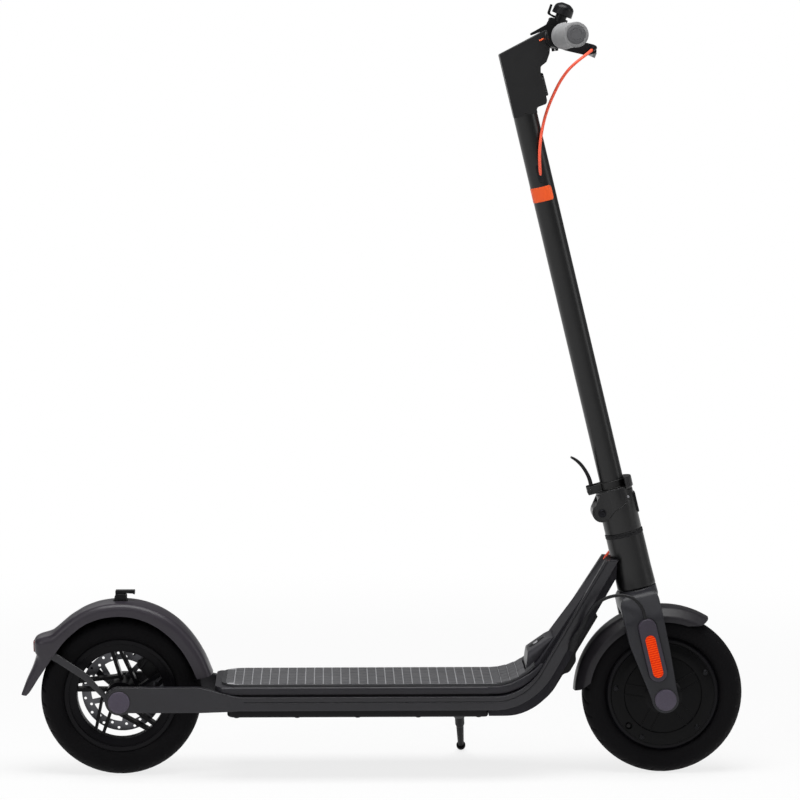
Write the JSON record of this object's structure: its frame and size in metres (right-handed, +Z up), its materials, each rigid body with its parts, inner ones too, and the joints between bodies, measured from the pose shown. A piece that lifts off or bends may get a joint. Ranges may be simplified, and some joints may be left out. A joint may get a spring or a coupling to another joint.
{
  "type": "electric kick scooter",
  "caption": "Folding electric kick scooter: long low deck, front hub motor, rear disc brake, tall raked stem with display head, straight bar, mudguards and side stand.",
  "frame": {"origin": "on the ground, under the middle of the scooter's length and width", "axes": "+X forward, +Y to the rider's left, +Z up"},
  "size_m": [1.1428, 0.483, 1.2182],
  "materials": {
    "frame_black": "satin near-black paint",
    "hard_plastic": "fine-textured dark plastic",
    "cap_plastic": "purple-grey satin plastic",
    "soft_rubber": "matt black rubber",
    "grip_rubber": "light grey rubber",
    "tyre": "black tyre rubber",
    "rim_paint": "black wheel paint",
    "steel": "bright steel",
    "dark_alloy": "dark anodised alloy",
    "pad": "brake pad",
    "cell_pack": "sleeved cell pack",
    "board": "potted board",
    "lamination": "steel laminations",
    "red_lens": "red lens",
    "orange": "orange",
    "cable_black": "black cable jacket",
    "lens": "black display glass",
    "clear_lens": "clear lamp lens"
  },
  "bodies": {
    "frame": {"side_rails": "frame_black", "neck": "frame_black", "head_tube": "frame_black", "headset_bearings": "steel", "deck_shell": "frame_black", "bottom_cover": "hard_plastic", "neck_cover": "hard_plastic", "battery_pack": "cell_pack", "motor_controller": "board", "footboard_mat": "soft_rubber", "charge_housing": "hard_plastic", "charge_socket": "board", "rear_mudguard": "hard_plastic", "mudflap": "soft_rubber", "tail_lamp": "red_lens", "mudguard_stays": "frame_black", "rear_axle": "steel", "rear_axle_caps": "cap_plastic", "brake_caliper": "dark_alloy", "brake_pads": "pad", "kickstand_bracket": "steel"},
    "charge_cap": {"charge_cap": "soft_rubber"},
    "fender_hook": {"fender_hook": "steel"},
    "caliper_arm": {"caliper_arm": "dark_alloy"},
    "kickstand_leg": {"kickstand_leg": "dark_alloy"},
    "rear_wheel": {"rear_tyre": "tyre", "rear_rim": "rim_paint", "rear_bearings": "steel", "brake_disc": "steel"},
    "fork": {"fork": "frame_black", "fork_covers": "cap_plastic", "fork_reflectors": "orange", "front_axle": "steel", "motor_stator": "lamination", "front_axle_caps": "cap_plastic", "front_mudguard": "hard_plastic", "fold_base": "frame_black", "motor_cable": "cable_black"},
    "front_wheel": {"front_tyre": "tyre", "motor_shell": "rim_paint", "motor_covers": "rim_paint", "motor_magnets": "lamination", "motor_bearings": "steel"},
    "stem": {"hinge_pin": "steel", "fold_bracket": "frame_black", "stem_tube": "frame_black", "head_housing": "hard_plastic", "display_lens": "lens", "headlamp_lens": "clear_lens", "handlebar": "frame_black", "grips": "grip_rubber", "throttle_body": "hard_plastic", "brake_perch": "dark_alloy", "bell_dome": "hard_plastic", "brake_cable": "orange"},
    "latch_lever": {"latch_lever": "dark_alloy"},
    "throttle_lever": {"throttle_lever": "hard_plastic"},
    "brake_lever": {"brake_lever": "dark_alloy"},
    "bell_lever": {"bell_lever": "hard_plastic"},
    "power_button": {"power_button": "orange"}
  },
  "joints": [
    {"name": "rear_wheel_spin", "type": "hinge", "parent": "frame", "child": "rear_wheel", "pos_m": [-0.413, 0, 0.127], "axis": [0, 1, 0], "continuous": true},
    {"name": "steering", "type": "hinge", "parent": "frame", "child": "fork", "pos_m": [0.445, 0, 0.127], "axis": [-0.234, 0, 0.9722], "range_deg": [-45, 45], "deforming": ["motor_cable"]},
    {"name": "front_wheel_spin", "type": "hinge", "parent": "fork", "child": "front_wheel", "pos_m": [0.445, 0, 0.127], "axis": [0, 1, 0], "continuous": true},
    {"name": "stem_fold", "type": "hinge", "parent": "fork", "child": "stem", "pos_m": [0.3469, 0, 0.4171], "axis": [0, -1, 0], "range_deg": [0, 86.4]},
    {"name": "latch_open", "type": "hinge", "parent": "stem", "child": "latch_lever", "pos_m": [0.3295, 0, 0.451], "axis": [0, -1, 0], "range_deg": [0, 70]},
    {"name": "throttle_press", "type": "hinge", "parent": "stem", "child": "throttle_lever", "pos_m": [0.26028, -0.08164, 1.18258], "axis": [0, -1, 0], "range_deg": [0, 22], "stiffness_Nm_per_rad": 0.25, "springref_deg": -4.58},
    {"name": "brake_squeeze", "type": "hinge", "parent": "stem", "child": "brake_lever", "pos_m": [0.32161, 0.07965, 1.14488], "axis": [0.3644, 0, 0.9313], "range_deg": [0, 18], "stiffness_Nm_per_rad": 1.2, "springref_deg": -5.73},
    {"name": "caliper_pull", "type": "hinge", "parent": "frame", "child": "caliper_arm", "pos_m": [-0.36934, 0.045, 0.16364], "axis": [0, -1, 0], "range_deg": [0, 18], "stiffness_Nm_per_rad": 0.3, "springref_deg": -5.73},
    {"name": "bell_ring", "type": "hinge", "parent": "stem", "child": "bell_lever", "pos_m": [0.28607, 0.07965, 1.19777], "axis": [0.366, 0, 0.9306], "range_deg": [0, 25], "stiffness_Nm_per_rad": 0.1, "springref_deg": -2.86},
    {"name": "button_press", "type": "slide", "parent": "stem", "child": "power_button", "axis": [0.467, 0, -0.8842], "range_m": [0, 0.0012], "stiffness_N_per_m": 500, "springref_m": -0.0003},
    {"name": "charge_cap_lift", "type": "hinge", "parent": "frame", "child": "charge_cap", "pos_m": [0.25564, 0, 0.21395], "axis": [0, 1, 0], "range_deg": [0, 110]},
    {"name": "hook_flip", "type": "hinge", "parent": "frame", "child": "fender_hook", "pos_m": [-0.413, 0, 0.2845], "axis": [0, -1, 0], "range_deg": [0, 25], "stiffness_Nm_per_rad": 0.05, "springref_deg": -5.73},
    {"name": "kickstand_swing", "type": "hinge", "parent": "frame", "child": "kickstand_leg", "pos_m": [0.125, 0.061, 0.0885], "axis": [0, 0.5948, 0.8039], "range_deg": [0, 91]}
  ],
  "couplings": [
    {"joint": "caliper_pull", "follows": "brake_squeeze", "ratio": 1}
  ]
}
